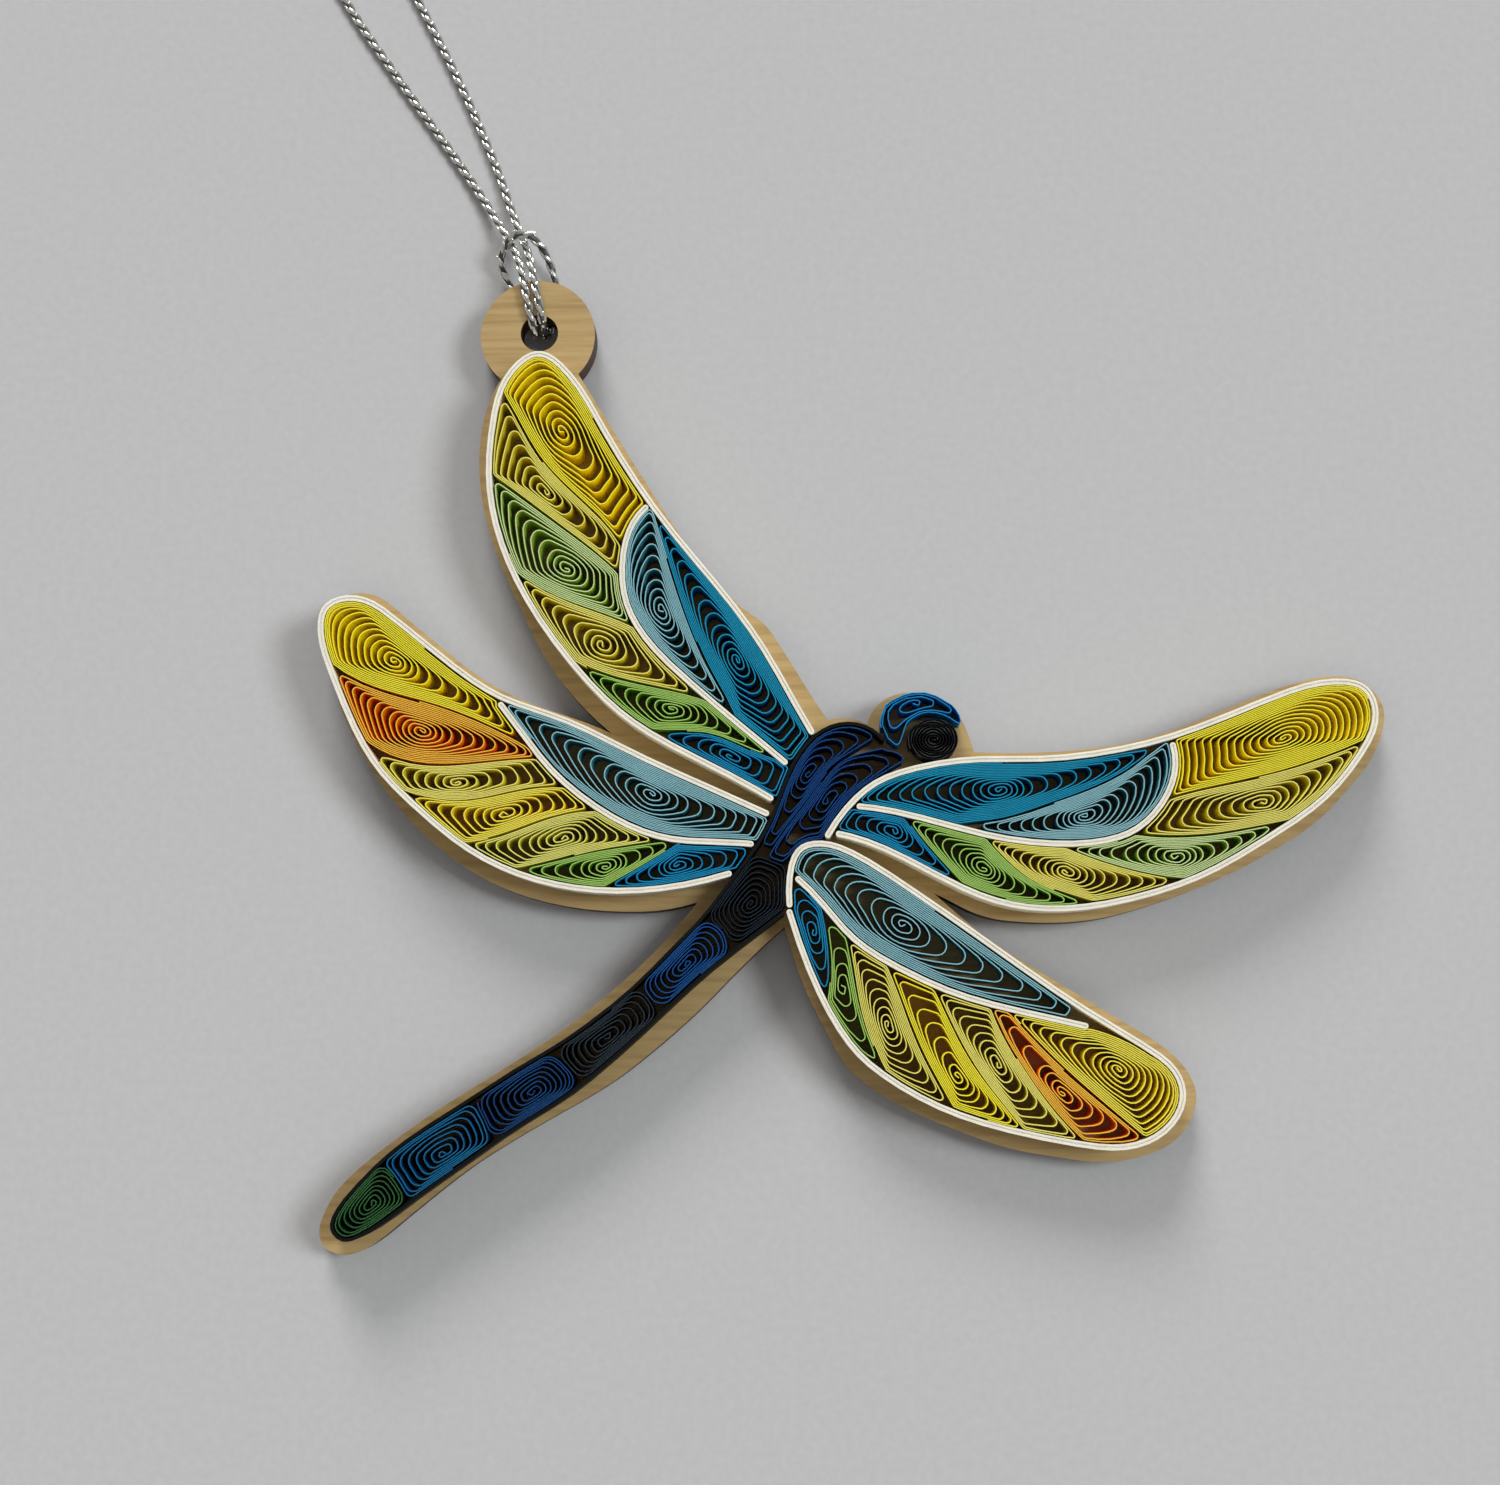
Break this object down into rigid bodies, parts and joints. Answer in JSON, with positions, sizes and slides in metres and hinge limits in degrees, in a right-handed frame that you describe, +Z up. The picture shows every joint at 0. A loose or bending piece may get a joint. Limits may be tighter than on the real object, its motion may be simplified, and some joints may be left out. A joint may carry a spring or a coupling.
{
  "type": "quilled dragonfly ornament",
  "caption": "Flat hanging ornament: rolled paper coils stand on edge inside folded paper strips on a laser-cut plywood backing with a round tab, hung by a hitched cord loop",
  "frame": {"origin": "centre of the ornament, without its cord, on the table it lies on", "axes": "+X and +Y lie along the table, +Y towards the hanging tab and +X towards the head, +Z up from the table towards the paper coils"},
  "size_m": [0.104, 0.1483, 0.0064],
  "materials": {
    "birch_plywood": "laser-cut, bare",
    "white_paper": "matte",
    "black_paper": "matte",
    "yellow_paper": "matte",
    "pale_yellow_paper": "matte",
    "orange_paper": "matte",
    "khaki_paper": "matte",
    "lime_paper": "matte",
    "light_green_paper": "matte",
    "green_paper": "matte",
    "sky_blue_paper": "matte",
    "bright_blue_paper": "matte",
    "steel_blue_paper": "matte",
    "dark_blue_paper": "matte",
    "royal_blue_paper": "matte",
    "slate_paper": "matte",
    "silver_cord": "knitted metallic thread"
  },
  "bodies": {
    "root": {"abdomen_black_coil": "black_paper", "abdomen_blue_coil": "bright_blue_paper", "abdomen_dark_blue_coil": "dark_blue_paper", "abdomen_green_coil": "green_paper", "abdomen_royal_blue_coil": "royal_blue_paper", "abdomen_slate_coil": "slate_paper", "backing_board": "birch_plywood", "body_strip": "black_paper", "cord_knot": "silver_cord", "hanging_cord": "silver_cord", "head_black_coil": "black_paper", "head_crescent_coil": "royal_blue_paper", "left_forewing_border": "white_paper", "left_forewing_bright_blue_coil": "bright_blue_paper", "left_forewing_divider": "white_paper", "left_forewing_green_coil": "green_paper", "left_forewing_khaki_coil": "khaki_paper", "left_forewing_light_green_coil": "light_green_paper", "left_forewing_lime_coil": "lime_paper", "left_forewing_sky_blue_coil": "sky_blue_paper", "left_forewing_steel_blue_coil": "steel_blue_paper", "left_forewing_yellow_coil": "yellow_paper", "left_hindwing_border": "white_paper", "left_hindwing_bright_blue_coil": "bright_blue_paper", "left_hindwing_divider": "white_paper", "left_hindwing_green_coil": "green_paper", "left_hindwing_light_green_coil": "light_green_paper", "left_hindwing_lime_coil": "lime_paper", "left_hindwing_orange_coil": "orange_paper", "left_hindwing_pale_yellow_coil": "pale_yellow_paper", "left_hindwing_steel_blue_coil": "steel_blue_paper", "left_hindwing_yellow_coil": "yellow_paper", "right_forewing_border": "white_paper", "right_forewing_bright_blue_coil": "bright_blue_paper", "right_forewing_divider": "white_paper", "right_forewing_green_coil": "green_paper", "right_forewing_khaki_coil": "khaki_paper", "right_forewing_light_green_coil": "light_green_paper", "right_forewing_lime_coil": "lime_paper", "right_forewing_sky_blue_coil": "sky_blue_paper", "right_forewing_steel_blue_coil": "steel_blue_paper", "right_forewing_yellow_coil": "yellow_paper", "right_hindwing_border": "white_paper", "right_hindwing_bright_blue_coil": "bright_blue_paper", "right_hindwing_divider": "white_paper", "right_hindwing_green_coil": "green_paper", "right_hindwing_light_green_coil": "light_green_paper", "right_hindwing_lime_coil": "lime_paper", "right_hindwing_orange_coil": "orange_paper", "right_hindwing_pale_yellow_coil": "pale_yellow_paper", "right_hindwing_steel_blue_coil": "steel_blue_paper", "right_hindwing_yellow_coil": "yellow_paper", "thorax_left_coil": "dark_blue_paper", "thorax_right_coil": "dark_blue_paper"}
  },
  "joints": []
}
